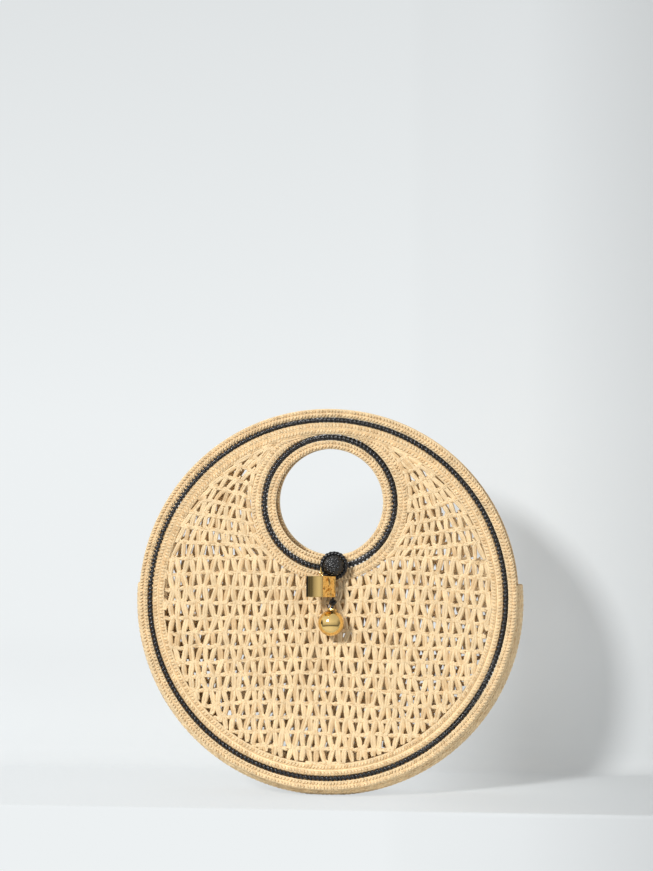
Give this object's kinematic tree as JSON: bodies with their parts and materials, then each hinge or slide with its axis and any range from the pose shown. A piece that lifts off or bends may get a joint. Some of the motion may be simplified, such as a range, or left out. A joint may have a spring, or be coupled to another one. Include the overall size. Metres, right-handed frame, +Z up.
{
  "type": "round crocheted handbag",
  "caption": "Round crocheted raffia handbag: openwork discs with hand holes, joined by a gusset, with a ball button, a closure loop and gold charms.",
  "frame": {"origin": "middle of the flat at the bottom of the gusset, on the surface that the bag stands on", "axes": "+Z up, +X to the right as seen from the front, the front panel faces -Y"},
  "size_m": [0.3654, 0.0907, 0.3609],
  "materials": {
    "raffia": "natural raffia yarn",
    "raffia_black": "glossy black raffia yarn",
    "cord_black": "black waxed cord",
    "gold": "polished and hammered gold",
    "core": "turned bead"
  },
  "bodies": {
    "gusset": {"gusset": "raffia"},
    "front_panel": {"front_mesh_lower": "raffia", "front_mesh_left": "raffia", "front_mesh_right": "raffia", "front_rim_edge": "raffia", "front_rim_stripe": "raffia_black", "front_rim_inner": "raffia", "front_handle_edge": "raffia", "front_handle_stripe": "raffia_black", "front_handle_surround": "raffia", "button_core": "core", "button_cover": "cord_black", "button_rope": "cord_black", "button_shank": "cord_black", "button_backing": "cord_black", "cube_picot": "cord_black"},
    "back_panel": {"back_mesh_lower": "raffia", "back_mesh_left": "raffia", "back_mesh_right": "raffia", "back_rim_edge": "raffia", "back_rim_stripe": "raffia_black", "back_rim_inner": "raffia", "back_handle_edge": "raffia", "back_handle_stripe": "raffia_black", "back_handle_surround": "raffia", "loop_anchor": "cord_black"},
    "closure_loop": {"closure_loop": "cord_black"},
    "cube_ring": {"cube_jump_ring": "gold"},
    "cube": {"cube_charm": "gold", "cube_eye": "gold"},
    "ball_hanger": {"ball_hanger": "cord_black"},
    "ball": {"ball_cord": "cord_black", "ball_knot": "cord_black", "ball_cap": "gold", "ball_charm": "gold", "ball_end_knot": "cord_black"}
  },
  "joints": [
    {"name": "front_open", "type": "hinge", "parent": "gusset", "child": "front_panel", "pos_m": [0, -0.0303, 0.0079], "axis": [1, 0, 0], "range_deg": [0, 4]},
    {"name": "back_open", "type": "hinge", "parent": "gusset", "child": "back_panel", "pos_m": [0, 0.0303, 0.0079], "axis": [-1, 0, 0], "range_deg": [0, 4]},
    {"name": "loop_swing", "type": "hinge", "parent": "back_panel", "child": "closure_loop", "pos_m": [0.006, 0.01438, 0.20976], "axis": [-1, 0, 0], "range_deg": [0, 25]},
    {"name": "cube_lift", "type": "hinge", "parent": "front_panel", "child": "cube_ring", "pos_m": [-0.00284, -0.04013, 0.21256], "axis": [-1, 0, 0], "range_deg": [0, 30]},
    {"name": "cube_sway", "type": "hinge", "parent": "cube_ring", "child": "cube", "pos_m": [-0.00284, -0.04041, 0.20857], "axis": [0, 0.9976, -0.0698], "range_deg": [0, 30]},
    {"name": "ball_sway", "type": "hinge", "parent": "front_panel", "child": "ball_hanger", "pos_m": [0.008, -0.02255, 0.21474], "axis": [0, -0.9976, 0.0698], "range_deg": [0, 30]},
    {"name": "ball_lift", "type": "hinge", "parent": "ball_hanger", "child": "ball", "pos_m": [0.008, -0.02446, 0.20184], "axis": [-1, 0, 0], "range_deg": [0, 30]}
  ],
  "couplings": [
    {"joint": "ball_lift", "follows": "cube_lift", "ratio": 1}
  ]
}
